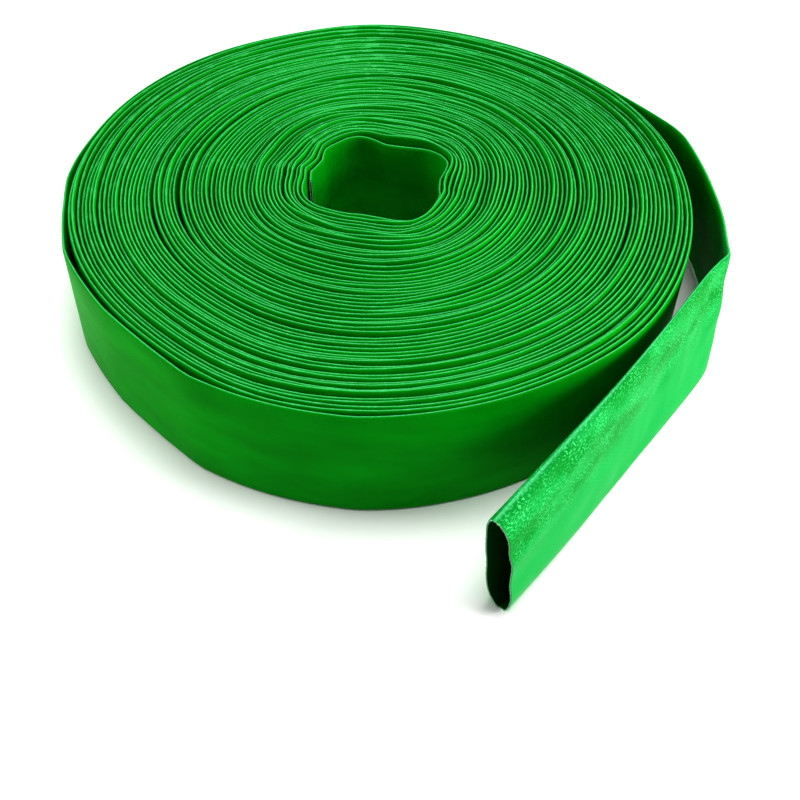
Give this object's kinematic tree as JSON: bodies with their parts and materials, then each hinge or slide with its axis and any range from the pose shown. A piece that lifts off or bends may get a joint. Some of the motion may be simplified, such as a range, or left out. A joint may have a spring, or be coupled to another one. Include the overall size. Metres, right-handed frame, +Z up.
{
  "type": "rolled fire hose",
  "caption": "Lay-flat fire hose wound flat on edge into a round roll, with a short free end folded beside it and a bare open mouth.",
  "frame": {"origin": "the roll's axis, on the floor that the roll and the free end stand on", "axes": "+Z up along the roll's axis; -Y is the way the open mouth faces; +X from the roll's axis towards the free end run"},
  "size_m": [0.4724, 0.4304, 0.083],
  "materials": {
    "cover": "satin green flexible PVC with a fine woven texture showing through",
    "weave": "white polyester filament yarn, circular woven",
    "liner": "smooth dark green flexible PVC"
  },
  "bodies": {
    "roll": {"roll_cover": "cover", "roll_weave": "weave", "roll_liner": "liner"},
    "side_run": {"side_run_cover": "cover", "side_run_weave": "weave", "side_run_liner": "liner"},
    "end_run": {"end_run_cover": "cover", "end_run_weave": "weave", "end_run_liner": "liner"}
  },
  "joints": [
    {"name": "tail_swing", "type": "hinge", "parent": "roll", "child": "side_run", "pos_m": [0.04497, 0.21166, 0], "axis": [0, 0, 1], "range_deg": [0, 75]},
    {"name": "fold", "type": "hinge", "parent": "side_run", "child": "end_run", "pos_m": [0.2405, 0.068, 0], "axis": [0, 0, 1], "range_deg": [-3, 60]}
  ]
}
